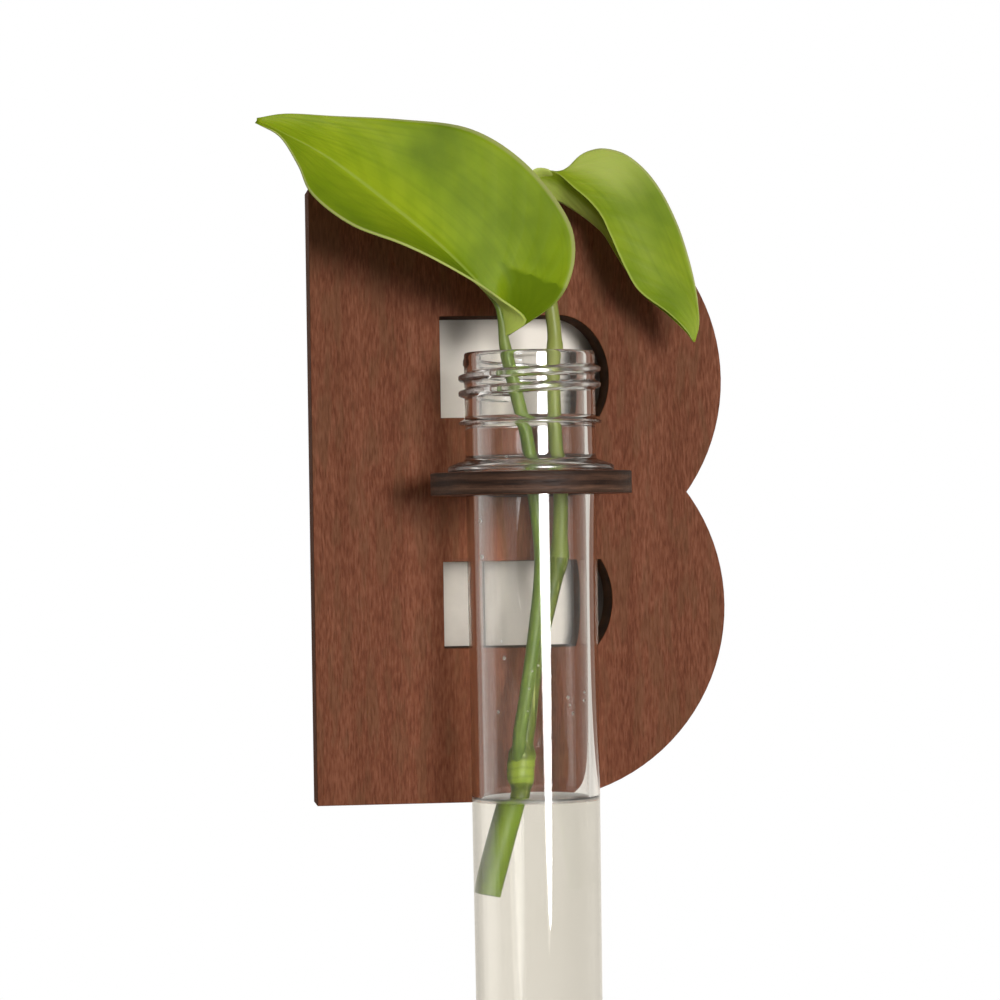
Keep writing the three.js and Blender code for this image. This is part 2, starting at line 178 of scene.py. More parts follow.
def ramp(value, *stops):
    made = add_node(value, "ValToRGB")
    elements = made.color_ramp.elements
    while len(elements) < len(stops):
        elements.new(0.5)
    for element, (place, shade) in zip(elements, stops):
        element.position = place
        element.color = shade
    feed(made.inputs[0], value)
    return made.outputs[0]


def bumped(height, distance, strength):
    made = add_node(height, "Bump")
    set_inputs(made, {"Distance": distance, "Strength": strength, "Height": height})
    return made.outputs["Normal"]


def new_finish(name):
    made = bpy.data.materials.new(name)
    made.use_nodes = True
    shader = made.node_tree.nodes["Principled BSDF"]
    return made, shader, add_node(shader, "TexCoord").outputs["Object"]


def show_instead(shader, other, share):
    both = mixed_shaders(share, shader.outputs[0], other.outputs[0])
    feed(shader.id_data.nodes["Material Output"].inputs["Surface"], both)


def new_group(name, takes, *gives):
    group = bpy.data.node_groups.new(name, "ShaderNodeTree")
    group.interface.new_socket(takes, in_out="INPUT", socket_type="NodeSocketVector")
    for given in gives:
        group.interface.new_socket(given, in_out="OUTPUT", socket_type="NodeSocketFloat")
    start = group.nodes.new("NodeGroupInput")
    return group, start.outputs[takes], group.nodes.new("NodeGroupOutput")


def use_group(group, vector):
    made = add_node(vector, "Group", node_tree=group)
    feed(made.inputs[0], vector)
    return made.outputs


print("material helpers are ready")

# %% [markdown]
# Behind the board is a wall, and all that shows of it is what the two counters of the letter let
# through. So the wall is only a patch, a little larger than the counters, and a hair inside the back
# of the board, so that it keeps no light from that back. It is painted on its front and clear from
# behind. Its colour holds painted light and shade: it is painted paler higher up and behind the tube,
# as painted light that lifts the shadows of the leaf and the tube, and painted dark as shade in the
# corner that the lamps don't reach. The floor is a pale disc below the tube that fades into the white
# surroundings at its rim. The lamps stand low and hardly light it, so it is lifted a little for the
# camera alone.

# %% Wall and floor
def new_object(name, bm, finishes):
    mesh = bpy.data.meshes.new(name)
    bm.to_mesh(mesh)
    bm.free()
    for finish in finishes:
        mesh.materials.append(finish)
    made = bpy.data.objects.new(name, mesh)
    scene.collection.objects.link(made)
    return made


wall_paint, shader, place = new_finish("wall_paint")
wall_at = split(place)
wall_tone = cloudy(place, 220.0, 4.0)
wall_shade = ramp(wall_tone, (0.3, colour(188, 180, 169)), (0.7, colour(198, 190, 179)))
# Painted light behind the tube and higher up, and painted shade in the right-hand corner of the counters.
behind_tube = between(wall_at["X"], -0.011, -0.003)
higher_up = between(wall_at["Z"], 0.0, 0.02, 0.0, 0.5)
paler = maths("MAXIMUM", behind_tube, higher_up)
corner = between(wall_at["X"], 0.012, 0.0185, 0.0, 0.85)
wall_shade = layered(wall_shade, (paler, colour(250, 241, 228)), (corner, colour(44, 30, 20)))
set_inputs(shader, {"Base Color": wall_shade, "Roughness": 0.9})
from_behind = add_node(shader, "NewGeometry").outputs["Backfacing"]
show_instead(shader, add_node(shader, "BsdfTransparent"), from_behind)

wall_middle = (0.001, -0.0002, 0.0015)
wall_width = 0.042
wall_height = 0.080
bm = bmesh.new()
bmesh.ops.create_grid(bm, x_segments=1, y_segments=1, size=0.5)
wall_matrix = Matrix.Translation(wall_middle) @ Matrix.Rotation(math.pi / 2, 4, "X")
bmesh.ops.transform(bm, matrix=wall_matrix @ Matrix.Diagonal((wall_width, wall_height, 1, 1)), verts=bm.verts)
wall = new_object("wall", bm, [wall_paint])

floor_paint, shader, place = new_finish("floor_paint")
floor_tone = cloudy(place, 30.0, 3.0)
reach = add_node(shader, "VectorMath", operation="LENGTH")
feed(reach.inputs[0], stretched(place, (1, 1, 0)))
to_camera = add_node(shader, "LightPath").outputs["Is Camera Ray"]
set_inputs(shader, {
    "Base Color": ramp(floor_tone, (0.3, colour(240, 239, 237)), (0.7, colour(245, 244, 242))),
    "Roughness": 0.8,
    "Alpha": between(reach.outputs["Value"], 0.2, 0.36, 1.0, 0.0),
    "Emission Color": mixed(to_camera, (0, 0, 0, 1), (0.38, 0.38, 0.375, 1)),
    "Emission Strength": 1.0,
})

floor_radius = 0.37
floor_middle = (0, -0.03, -0.17)
bm = bmesh.new()
bmesh.ops.create_circle(bm, cap_ends=True, segments=64, radius=floor_radius)
bmesh.ops.translate(bm, vec=floor_middle, verts=bm.verts)
floor = new_object("floor", bm, [floor_paint])
print("wall patch and floor are stage:", wall.name, floor.name)

# %% [markdown]
# The light is that of a small studio. The key is a compact soft box in front of the planter, a little
# to the right of the camera and hardly above it: it throws the short, fairly crisp shadows of the
# shelf, the tube and the leaves to the left. Boxes at both sides give the tube its pale bands, and one
# behind lights the back of the board. The long bright streak down the tube, which ends in a point, is
# the reflection of a tall oval panel that is meant for reflections only: its own nodes turn it off for
# rays that have met a matt surface, and make it weaker for those that come through the tube's wall. The
# key already shines through the clear tube, so it isn't gathered a second time by such rays.

# %% Lamps
aim_depth = -0.03


def soft_box(name, azimuth, height, distance, width, tall, power):
    data = bpy.data.lights.new(name, "AREA")
    data.shape = "RECTANGLE"
    data.size = width
    data.size_y = tall
    data.energy = power
    lamp = bpy.data.objects.new(name, data)
    scene.collection.objects.link(lamp)
    turn = math.radians(azimuth)
    lamp.location = Vector((math.sin(turn) * distance, aim_depth - math.cos(turn) * distance, height))
    lamp.rotation_euler = (math.pi / 2, 0, turn)
    return lamp


key_box = soft_box("key_box", 14, 0.13, 1.3, 0.3, 0.3, 14.0)
key_box.visible_transmission = False
soft_box("left_box", -106, 0.15, 0.9, 0.6, 1.0, 1.0)
soft_box("right_box", 117, 0.15, 0.9, 0.3, 1.0, 0.08)
soft_box("back_box", 180, 0.5, 1.2, 0.8, 0.8, 5.0)
streak_panel = soft_box("streak_panel", 15, 0.02, 1.0, 0.32, 0.46, 7.3)
streak_panel.visible_diffuse = False
streak_panel.data.shape = "ELLIPSE"
streak_panel.data.use_nodes = True
tree = streak_panel.data.node_tree
path = add_node(tree, "LightPath").outputs
not_matt = maths("LESS_THAN", path["Diffuse Depth"], 0.5)
inside = maths("GREATER_THAN", path["Transmission Depth"], 0.5)
lost_inside = 0.86
weaker = maths("MULTIPLY_ADD", inside, -lost_inside, 1.0)
feed(tree.nodes["Emission"].inputs["Strength"], times(not_matt, weaker))
print("lamps:", [lamp.name for lamp in bpy.data.lights])

# %% [markdown]
# The world is white to the camera. A real studio is dim behind the photographer, and the wall behind
# the planter is a warm white, and the tube shows both. So reflected and refracted rays get a warm
# white where they go on towards the wall or the ceiling and a grey in front of it, dimmer again far
# to the right, unless they have met a matt surface on their way. The general soft light is only a
# small part of the whole, so that shadows stay deep.

# %% World
world = bpy.data.worlds.new("studio")
scene.world = world
world.use_nodes = True
tree = world.node_tree
soft_light = tree.nodes["Background"]
set_inputs(soft_light, {"Color": (1.0, 0.97, 0.93, 1.0), "Strength": 0.18})
direction = split(add_node(tree, "TexCoord").outputs["Generated"])
towards_wall = between(direction["Y"], -0.3, 0.45, 0.38, 1.0)
towards_ceiling = between(direction["Z"], 0.1, 0.6, 0.0, 0.9)
brightest = maths("MAXIMUM", towards_wall, towards_ceiling)
to_the_right = between(direction["X"], -0.5, 0.5, 0.94, 1.1)
far_right = between(direction["X"], 0.5, 0.8, 1.0, 0.68)
sideways = times(to_the_right, far_right)
room = add_node(tree, "Background")
room_strength = times(brightest, sideways)
set_inputs(room, {"Color": colour(238, 232, 222), "Strength": room_strength})
white = add_node(tree, "Background")
set_inputs(white, {"Color": (1, 1, 1, 1), "Strength": 1.0})
path = add_node(tree, "LightPath").outputs
in_glass = maths("MAXIMUM", path["Is Glossy Ray"], path["Is Transmission Ray"])
in_glass = times(in_glass, maths("LESS_THAN", path["Diffuse Depth"], 0.5))
room_or_light = mixed_shaders(in_glass, soft_light.outputs[0], room.outputs[0])
seen_or_not = mixed_shaders(path["Is Camera Ray"], room_or_light, white.outputs[0])
feed(tree.nodes["World Output"].inputs["Surface"], seen_or_not)
print("world:", world.name, "with", len(tree.nodes), "nodes")

# %% [markdown]
# Every piece is made as a bmesh, put into the scene once it is done, and attached to the body of the
# construction model that it moves with, and the nodes that it stands for are hidden. Edges that turn
# sharply stay crisp, and everything between them is shaded smooth.

# %% Helpers for pieces
same_place = 1e-6


def put_in_scene(name, bm, finishes, body, replaced, crisp=40):
    piece = new_object(name, bm, finishes)
    piece.data.shade_smooth()
    piece.data.set_sharp_from_angle(angle=math.radians(crisp))
    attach(piece, body)
    if replaced:
        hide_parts(*replaced)
    print(name, "has", len(piece.data.polygons), "faces and moves with", body)
    return piece


def copy_of_node(name):
    bm = bmesh.new()
    bm.from_mesh(nodes[name].data)
    bmesh.ops.remove_doubles(bm, verts=bm.verts, dist=same_place)
    bmesh.ops.dissolve_limit(bm, angle_limit=math.radians(0.5), verts=bm.verts, edges=bm.edges)
    return bm


def round_edges(bm, chosen, width, segments=3):
    edges = [edge for edge in bm.edges if edge.calc_face_angle(0) > math.radians(40) and chosen(edge)]
    bmesh.ops.bevel(bm, geom=edges, offset=width, affect="EDGES", segments=segments,
                    profile=0.5, material=-1, clamp_overlap=True)
    return len(edges)


def keep_faces_flat(piece):
    weighted = piece.modifiers.new("flat faces", "WEIGHTED_NORMAL")
    weighted.keep_sharp = True


def mark_cut_walls(bm, darkness):
    layer = bm.verts.layers.float.new("scorch")
    for face in bm.faces:
        dark = darkness(face)
        for vert in face.verts:
            vert[layer] = max(vert[layer], dark)


print("piece helpers are ready")

# %% [markdown]
# The wood is brown, with straight upright grain: fine streaks a few tenths of a millimetre wide,
# broader bands of tone, and short dark pores. All three are noise that is stretched along the grain.
# The board and the shelf both need them, so they are one node group, placed in each material and
# coloured there.

# %% Wood grain
wood_grain, place, grain_out = new_group("wood_grain", "Vector", "Tone", "Pores", "Height")
streaks = cloudy(stretched(place, (1, 1, 0.17)), 2500.0, 3.0, 0.6)
bands = cloudy(stretched(place, (1, 1, 0.06)), 190.0, 3.0)
speckle = cloudy(stretched(place, (1, 1, 0.1)), 3000.0, 2.0)
pores = between(speckle, 0.52, 0.66)
fine_tone = times(streaks, 0.72)
set_inputs(grain_out, {
    "Tone": maths("MULTIPLY_ADD", bands, 0.28, fine_tone),
    "Pores": pores,
    "Height": maths("SUBTRACT", streaks, pores),
})
grain_depth = 0.00006
print("wood grain has", len(wood_grain.nodes), "nodes")

# %% [markdown]
# The letter board is sawn from one board, and its cut walls are dark from the cut. Its outline, its
# counters, the mortise for the shelf and the pockets at the back are all in the construction model,
# so the piece starts as a copy of that node. Its triangles are merged back into whole faces, and the
# long edges of the front and the back are eased with a narrow bevel. A value on the vertices marks
# the cut walls for the finish. It is full in the counters and a little under half on the outline, so the
# counters' walls are darker, with painted shade of the recess on top of their burn. The burnt
# colour itself holds painted shade too. The face has duller patches along its grain.

# %% Letter board
board_low, board_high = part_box("letter_board")
plate_boxes = [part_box("keyhole_plate_upper"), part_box("keyhole_plate_lower")]
shelf_low, shelf_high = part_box("tube_shelf")
plate_margin = 0.002
mortise_reach = 0.0145
mortise_margin = 0.001
counters_middle = Vector((0.0015, 0, 0.0025))
counters_reach = Vector((0.018, 0, 0.035))


def near_plate(place):
    return any(low.x - plate_margin < place.x < high.x + plate_margin
               and low.z - plate_margin < place.z < high.z + plate_margin for low, high in plate_boxes)


def near_mortise(place):
    at_height = shelf_low.z - mortise_margin < place.z < shelf_high.z + mortise_margin
    return abs(place.x) < mortise_reach and at_height


def board_face_edge(edge):
    ends = [vert.co for vert in edge.verts]
    in_front = all(abs(end.y - board_low.y) < same_place for end in ends)
    behind = all(abs(end.y - board_high.y) < same_place for end in ends)
    if in_front:
        return not any(near_mortise(end) for end in ends)
    return behind and not any(near_plate(end) for end in ends)


def in_counter(place):
    off = place - counters_middle
    return abs(off.x) < counters_reach.x and abs(off.z) < counters_reach.z


# Cut walls in the counters get the full burnt colour, partly as painted shade of the recess; those of the
# outline get less than half.
def scorch_and_recess_shade(face):
    middle = face.calc_center_median()
    if abs(face.normal.y) > 0.3 or near_plate(middle) or near_mortise(middle):
        return 0.0
    return 1.0 if in_counter(middle) else 0.45


def counter_edge(edge):
    return board_face_edge(edge) and all(in_counter(end.co) for end in edge.verts)


def outline_edge(edge):
    return board_face_edge(edge) and not counter_edge(edge)


bm = copy_of_node("letter_board")
eased = round_edges(bm, counter_edge, 0.3 * mm)
eased += round_edges(bm, outline_edge, 0.8 * mm, 4)
mark_cut_walls(bm, scorch_and_recess_shade)
print("eased", eased, "edges of the board")

board_finish, shader, place = new_finish("board_wood")
tone, pores, height = use_group(wood_grain, place)
wood = ramp(tone, (0.34, colour(96, 52, 33)), (0.5, colour(114, 65, 43)), (0.66, colour(132, 80, 56)))
duller = cloudy(stretched(place, (1, 1, 0.2)), 420.0, 3.0)
duller = between(duller, 0.46, 0.62, 0.0, 0.5)
wood = layered(wood, (duller, colour(106, 70, 46)), (times(pores, 0.35), colour(80, 43, 26)))
scorch = vertex_value(shader, "scorch")
soot = cloudy(stretched(place, (1, 0.2, 1)), 420.0, 3.0)
# The burnt colour of the cut walls is burn and painted shade together.
burn_and_shade = ramp(soot, (0.3, colour(44, 24, 8)), (0.75, colour(72, 44, 24)))
sheen = between(tone, 0.3, 0.7, 0.66, 0.54)
sawn = between(scorch, 0.1, 0.4, 0.0, 0.9)
set_inputs(shader, {
    "Base Color": mixed(scorch, wood, burn_and_shade),
    "Roughness": maths("MAXIMUM", sheen, sawn),
    "Normal": bumped(height, grain_depth, 0.6),
    "Specular IOR Level": 0.06,
})
board = put_in_scene("board", bm, [board_finish], "board", ["letter_board"])
keep_faces_flat(board)

# %% [markdown]
# The shelf is a small round of plywood with a hole for the tube, tenoned into the middle bar. On its
# edge the plies show: a paler veneer above and below a dark core, all browned by the cut. As the
# plies lie flat, the finish reads the height and draws them as bands, with long thin streaks round
# the edge. The top and the underside have the wood's grain, turned to run across the shelf.

# %% Tube shelf
def shelf_edge(edge):
    ends = [vert.co for vert in edge.verts]
    outside = all(end.y < board_low.y - 0.0005 for end in ends)
    on_top = all(abs(end.z - shelf_high.z) < same_place for end in ends)
    below = all(abs(end.z - shelf_low.z) < same_place for end in ends)
    return outside and (on_top or below)


bm = copy_of_node("tube_shelf")
eased = round_edges(bm, shelf_edge, 0.3 * mm)
mark_cut_walls(bm, lambda face: 1.0 if abs(face.normal.z) < 0.3 else 0.0)
print("eased", eased, "edges of the shelf")

shelf_finish, shader, place = new_finish("shelf_plywood")
turned = add_node(shader, "Mapping")
set_inputs(turned, {"Rotation": (0, math.radians(90), 0), "Vector": place})
tone, pores, height = use_group(wood_grain, turned.outputs["Vector"])
face_wood = ramp(tone, (0.3, colour(86, 52, 38)), (0.5, colour(108, 68, 51)),
                 (0.7, colour(130, 86, 66)))
face_wood = mixed(times(pores, 0.4), face_wood, colour(60, 36, 26))
wobble = cloudy(stretched(place, (1, 1, 3)), 55.0, 3.0)
wavy_level = maths("MULTIPLY_ADD", wobble, 0.0016, split(place)["Z"])
ply = between(wavy_level, shelf_low.z + 0.0008, shelf_high.z + 0.0008)
ply_tone = ramp(ply, (0.0, colour(60, 42, 31)), (0.12, colour(98, 72, 58)), (0.24, colour(86, 61, 48)),
                (0.36, colour(58, 39, 29)), (0.62, colour(52, 34, 25)), (0.76, colour(86, 61, 48)),
                (0.9, colour(76, 53, 41)), (1.0, colour(52, 35, 26)))
ply_streaks = cloudy(stretched(place, (1, 1, 14)), 150.0, 4.0, 0.65)
ply_streaks = ramp(ply_streaks, (0.3, (0.4, 0.4, 0.4, 1)), (0.72, (1.3, 1.26, 1.2, 1)))
edge_wood = mixed(1.0, ply_tone, ply_streaks, "MULTIPLY")
set_inputs(shader, {
    "Base Color": mixed(vertex_value(shader, "scorch"), face_wood, edge_wood),
    "Roughness": between(tone, 0.3, 0.7, 0.65, 0.5),
    "Normal": bumped(height, grain_depth, 0.6),
    "Specular IOR Level": 0.12,
})
shelf = put_in_scene("shelf", bm, [shelf_finish], "board", ["tube_shelf"])
keep_faces_flat(shelf)

# %% [markdown]
# The keyhole plates and their screws are small stamped and turned steel parts at the back. Their
# shapes in the construction model are right, so those nodes stay and only get a finish: bright zinc
# with fine brush lines along the plates, cloudy variation in the plating, and a yellower, finer one
# on the screws. Both use one group for the plating.

# %% Plates and screws
zinc, place, zinc_out = new_group("zinc_plating", "Vector", "Cloud", "Brush")
set_inputs(zinc_out, {
    "Cloud": cloudy(place, 350.0, 3.0),
    "Brush": cloudy(stretched(place, (0.03, 1, 1)), 4200.0, 3.0),
})


def plated(name, dark, light, smooth, rough):
    finish, shader, place = new_finish(name)
    cloud, brush = use_group(zinc, place)
    set_inputs(shader, {
        "Base Color": ramp(cloud, (0.3, dark), (0.7, light)),
        "Roughness": between(brush, 0.3, 0.7, smooth, rough),
        "Normal": bumped(brush, 0.00002, 0.5),
        "Metallic": 1.0,
    })
    return finish


plate_finish = plated("plate_zinc", colour(176, 180, 183), colour(205, 208, 209), 0.28, 0.45)
screw_finish = plated("screw_zinc", colour(184, 178, 160), colour(214, 208, 190), 0.22, 0.38)
for start, finish in (("keyhole_plate", plate_finish), ("plate_screw", screw_finish)):
    for node in [nodes[name] for name in nodes if name.startswith(start)]:
        node.data.materials.clear()
        node.data.materials.append(finish)
print("plated", [name for name in nodes if "plate" in name])

# %% [markdown]
# The tube is moulded in clear plastic: a long wall that tapers to a round end, a support ledge that
# hangs in the shelf, a bead, and a neck with a screw thread. Half of its section is drawn as a line
# of points and spun once round the axis. The thread is then pulled out of the neck's wall along a
# right-hand helix, so that wall and thread stay one skin, as clear plastic needs, with no hidden
# faces inside. Sizes are in millimetres from the underside of the ledge.

# %% Tube section
tube_low, tube_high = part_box("tube")
tube_axis = (tube_low + tube_high) / 2
tube_matrix = Matrix.Translation((tube_axis.x, tube_axis.y, shelf_high.z)) @ Matrix.Scale(mm, 4)
rim_level = (tube_high.z - shelf_high.z) / mm
end_level = (tube_low.z - shelf_high.z) / mm
tube_wall = 2.1
top_radius = 13.0
end_radius = 12.5
end_centre = end_level + end_radius
neck_radius = 13.0
neck_bore = 10.85
bead_level = rim_level - 13.8


def wall_radius(level):
    return top_radius + (top_radius - end_radius) * level / -end_centre


def bore_radius(level):
    return wall_radius(level) - tube_wall


def round_end(bm, radius, level):
    bottom = bm.verts.new((0, 0, level - radius))
    arc = bmesh.ops.spin(bm, geom=[bottom], cent=(0, 0, level), axis=(0, -1, 0), angle=math.pi / 2, steps=20)
    return arc["geom_last"][0]


def line_on(bm, start, points):
    for radius, level in points:
        end = bm.verts.new((radius, 0, level))
        bm.edges.new((start, end))
        start = end
    return start


def put_round_axis(bm):
    bmesh.ops.transform(bm, matrix=tube_matrix, verts=bm.verts)


def spin_section(bm, steps):
    bmesh.ops.spin(bm, geom=bm.verts[:] + bm.edges[:], cent=(0, 0, 0), axis=(0, 0, 1), angle=2 * math.pi,
                   steps=steps, use_merge=True)
    bmesh.ops.remove_doubles(bm, verts=bm.verts, dist=1e-3)
    bmesh.ops.recalc_face_normals(bm, faces=bm.faces)


bm = bmesh.new()
outside_start = round_end(bm, end_radius, end_centre)
outside_end = line_on(bm, outside_start, [
    *[(wall_radius(level), level) for level in (-113.0, -90.0, -60.0, -30.0, -4.0, -2.0)],
    (12.98, -0.5), (13.15, 0.06), (16.1, 0.06), (16.4, 0.16), (16.5, 0.4), (16.5, 0.95),
    (16.36, 1.22), (16.0, 1.4), (14.4, 2.0), (13.5, 2.25), (13.1, 2.6), (neck_radius, 3.2),
    (neck_radius, 3.9), (neck_radius, bead_level - 1.5), (neck_radius, bead_level - 0.9),
    (13.12, bead_level - 0.62), (13.9, bead_level - 0.5), (14.15, bead_level - 0.35),
    (14.2, bead_level - 0.15), (14.12, bead_level + 0.05), (13.5, bead_level + 0.35),
    (13.12, bead_level + 0.6), (neck_radius, bead_level + 1.0), (neck_radius, rim_level - 0.5),
    (12.92, rim_level - 0.18), (12.76, rim_level - 0.04), (12.5, rim_level), (11.25, rim_level),
    (10.98, rim_level - 0.1), (neck_bore, rim_level - 0.4), (neck_bore, rim_level - 1.2),
    (neck_bore, 1.0), (neck_bore, 0.0),
    *[(bore_radius(level), level) for level in (-6.0, -7.5, -30.0, -60.0, -90.0, -113.0)],
])
inside_start = round_end(bm, end_radius - tube_wall, end_centre)
bm.edges.new((outside_end, inside_start))
print("the section of the tube has", len(bm.verts), "points")

# %% [markdown]
# The section becomes a tube in one full spin. Before that, the neck's wall is cut into many short
# pieces, because the thread needs points to pull on. The thread has two turns and a bit, with a sloping
# flank above and below, a run-out at both ends, and two upright vents where it is lower.

# %% Tube
thread_top = rim_level - 1.9
thread_pitch = 3.1
thread_turns = 2.25
thread_diameter = 28.3
thread_rise = thread_diameter / 2 - neck_radius
thread_half = 1.0
thread_flank = 0.66
run_out_turns = 0.14
vents = [math.radians(-128), math.radians(52)]
vent_half = math.radians(1.5)
vent_flank = math.radians(5.0)
vent_least = 0.5

long_wall = [edge for edge in bm.edges if all(abs(vert.co.x - neck_radius) < 1e-4 for vert in edge.verts)
             and max(vert.co.z for vert in edge.verts) > rim_level - 2]
bmesh.ops.subdivide_edges(bm, edges=long_wall, cuts=72)
spin_section(bm, 144)


def thread_share(angle, level):
    """How far the thread stands out here, from 0 to 1."""
    start = ((math.pi - angle) / (2 * math.pi)) % 1
    most = 0.0
    for whole in range(3):
        turn = start + whole
        if turn > thread_turns:
            break
        off = abs(level - (thread_top - turn * thread_pitch))
        flank = min(max((thread_half - off) / thread_flank, 0.0), 1.0)
        run_out = min(max(min(turn, thread_turns - turn) / run_out_turns, 0.0), 1.0)
        gap = min(abs((angle - vent + math.pi) % (2 * math.pi) - math.pi) for vent in vents)
        vent_share = min(max((gap - vent_half) / vent_flank, vent_least), 1.0)
        most = max(most, flank * flank * (3 - 2 * flank) * run_out * vent_share)
    return most


for vert in bm.verts:
    radius = math.hypot(vert.co.x, vert.co.y)
    if abs(radius - neck_radius) < 1e-3 and vert.co.z > bead_level:
        share = thread_share(math.atan2(vert.co.y, vert.co.x), vert.co.z)
        grown = (radius + thread_rise * share) / radius
        vert.co.x *= grown
        vert.co.y *= grown
haze_layer = bm.verts.layers.float.new("haze")
for vert in bm.verts:
    stands_out = math.hypot(vert.co.x, vert.co.y) - neck_radius
    vert[haze_layer] = min(max(stands_out / 0.6 - 0.2, 0.0), 1.0)
put_round_axis(bm)
print("the thread has", thread_turns, "turns with a pitch of", thread_pitch, "mm")

# %% [markdown]
# Clear plastic bends light a little more than window glass. Rays on their way to a lamp pass through
# it, the less the more they graze its wall, so its shadow is light in the middle and darker at the
# edges. Faint upright draw lines and a slow waviness come from the mould, a film of fine scuffs varies
# the tint, and the thread, the bead and the ledge, where the plastic is thick, are a little hazy.

# %% Clear plastic
def let_lamps_through(shader, face_on, edge_on):
    clear = add_node(shader, "BsdfTransparent")
    grazing = add_node(shader, "LayerWeight").outputs["Facing"]
    feed(clear.inputs["Color"], mixed(grazing, face_on, edge_on))
    show_instead(shader, clear, add_node(shader, "LightPath").outputs["Is Shadow Ray"])


tube_finish, shader, place = new_finish("clear_plastic")
scuffs = cloudy(stretched(place, (1, 1, 0.3)), 900.0, 4.0, 0.7)
draw_lines = cloudy(stretched(place, (1, 1, 0.03)), 420.0, 2.0)
waves = cloudy(place, 70.0, 1.0)
moulded = maths("MULTIPLY_ADD", draw_lines, 0.25, waves)
set_inputs(shader, {
    "Base Color": ramp(scuffs, (0.3, (0.97, 0.975, 0.97, 1)), (0.7, (0.99, 0.992, 0.99, 1))),
    "Roughness": times(vertex_value(shader, "haze"), 0.22),
    "Normal": bumped(moulded, 0.0002, 0.04),
    "Transmission Weight": 1.0,
    "IOR": 1.57,
})
let_lamps_through(shader, (0.96, 0.957, 0.95, 1), (0.1, 0.09, 0.08, 1))
put_in_scene("tube_shell", bm, [tube_finish], "filled_tube", ["tube"])

# %% [markdown]
# The water fills the lower part of the tube and climbs the wall a little in a meniscus. Its section
# is spun like the tube's. It reaches a hair into the plastic, because a renderer would show a gap
# between the two as a silvery film of air. It has a faint warm tint.

# %% Water
water_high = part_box("water")[1]
water_level = (water_high.z - shelf_high.z) / mm
lap = 0.06

bm = bmesh.new()
water_start = round_end(bm, end_radius - tube_wall + lap, end_centre)
water_edge = bore_radius(water_level) + lap
line_on(bm, water_start, [
    (water_edge, water_level + 0.6), (water_edge - 0.15, water_level + 0.42),
    (water_edge - 0.45, water_level + 0.22), (water_edge - 1.0, water_level + 0.08),
    (water_edge - 1.8, water_level), (3.0, water_level), (0.0, water_level),
])
spin_section(bm, 96)
put_round_axis(bm)

water_finish, shader, place = new_finish("water")
murk = cloudy(stretched(place, (1, 1, 0.5)), 90.0, 3.0)
level = split(place)["Z"]
set_inputs(shader, {
    "Base Color": ramp(murk, (0.3, colour(246, 244, 238)), (0.7, colour(251, 249, 245))),
    "Roughness": between(level, water_high.z - 0.0004, water_high.z - 0.0001, 0.0, 0.3),
    "Normal": bumped(cloudy(place, 260.0, 1.0), 0.0001, 0.05),
    "Transmission Weight": 1.0,
    "IOR": 1.33,
})
let_lamps_through(shader, (0.95, 0.94, 0.92, 1), (0.7, 0.68, 0.64, 1))
put_in_scene("water_fill", bm, [water_finish], "filled_tube", ["water"])

# %% [markdown]
# A few droplets cling to the inside of the tube above the water. Each is a small ball that is
# flattened against the wall. They are too fine for the construction model, so they replace none of
# its nodes and only move with the tube.

# %% Droplets
drop_places = [(-6.5, -36.5, 0.32), (5.0, -44.4, 0.3), (8.1, -45.2, 0.26), (-7.6, -47.1, 0.26),
               (-9.9, -9.6, 0.38), (-9.7, -16.7, 0.35), (5.9, -47.6, 0.24), (8.2, -43.6, 0.2),
               (-6.9, -33.2, 0.2), (-5.6, 2.6, 0.26), (-0.5, -38.0, 0.2), (-1.6, -39.1, 0.18),
               (-2.2, -42.5, 0.18), (-2.6, -46.9, 0.15), (5.3, -45.9, 0.2)]
bm = bmesh.new()
for across, drop_level, size in drop_places:
    bore = min(bore_radius(drop_level), neck_bore)
    turn = math.atan2(-math.sqrt(bore ** 2 - across ** 2), across)
    on_wall = Matrix.Rotation(turn, 4, "Z") @ Matrix.Translation((bore, 0, drop_level))
    flattened = Matrix.Diagonal((0.6 * size, size, 1.2 * size, 1))
    bmesh.ops.create_icosphere(bm, subdivisions=3, radius=1.0, matrix=on_wall @ flattened)
put_round_axis(bm)
put_in_scene("droplets", bm, [water_finish], "filled_tube", None)

# %% [markdown]
# The stalks of the cutting are round and taper slowly. A stalk is a circle that is carried along a
# smooth line: at each step its edge is extruded, and the new ring is moved, turned and scaled to the
# next place on the line. The lines' points are the construction model's, in millimetres from the
# underside of the ledge on the axis of the tube.

# %% Helpers for lines and stalks
def line_through(points, count):
    """Places at even distances on a smooth line through the points."""
    places = [Vector(point) for point in points]
    places = [places[0] * 2 - places[1], *places, places[-1] * 2 - places[-2]]
    dense = []
    for before, start, end, after in zip(places, places[1:], places[2:], places[3:]):
        for step in range(16):
            t = step / 16
            dense.append(0.5 * (start * 2 + (end - before) * t
                                + (before * 2 - start * 5 + end * 4 - after) * t ** 2
                                + (start * 3 - before - end * 3 + after) * t ** 3))
    dense.append(places[-2])
    walked = [0.0]
    for start, end in zip(dense, dense[1:]):
        walked.append(walked[-1] + (end - start).length)
    line = []
    part = 0
    for step in range(count + 1):
        goal = walked[-1] * step / count
        while part < len(dense) - 2 and walked[part + 1] < goal:
            part += 1
        share = (goal - walked[part]) / (walked[part + 1] - walked[part])
        line.append(dense[part].lerp(dense[part + 1], share))
    return line


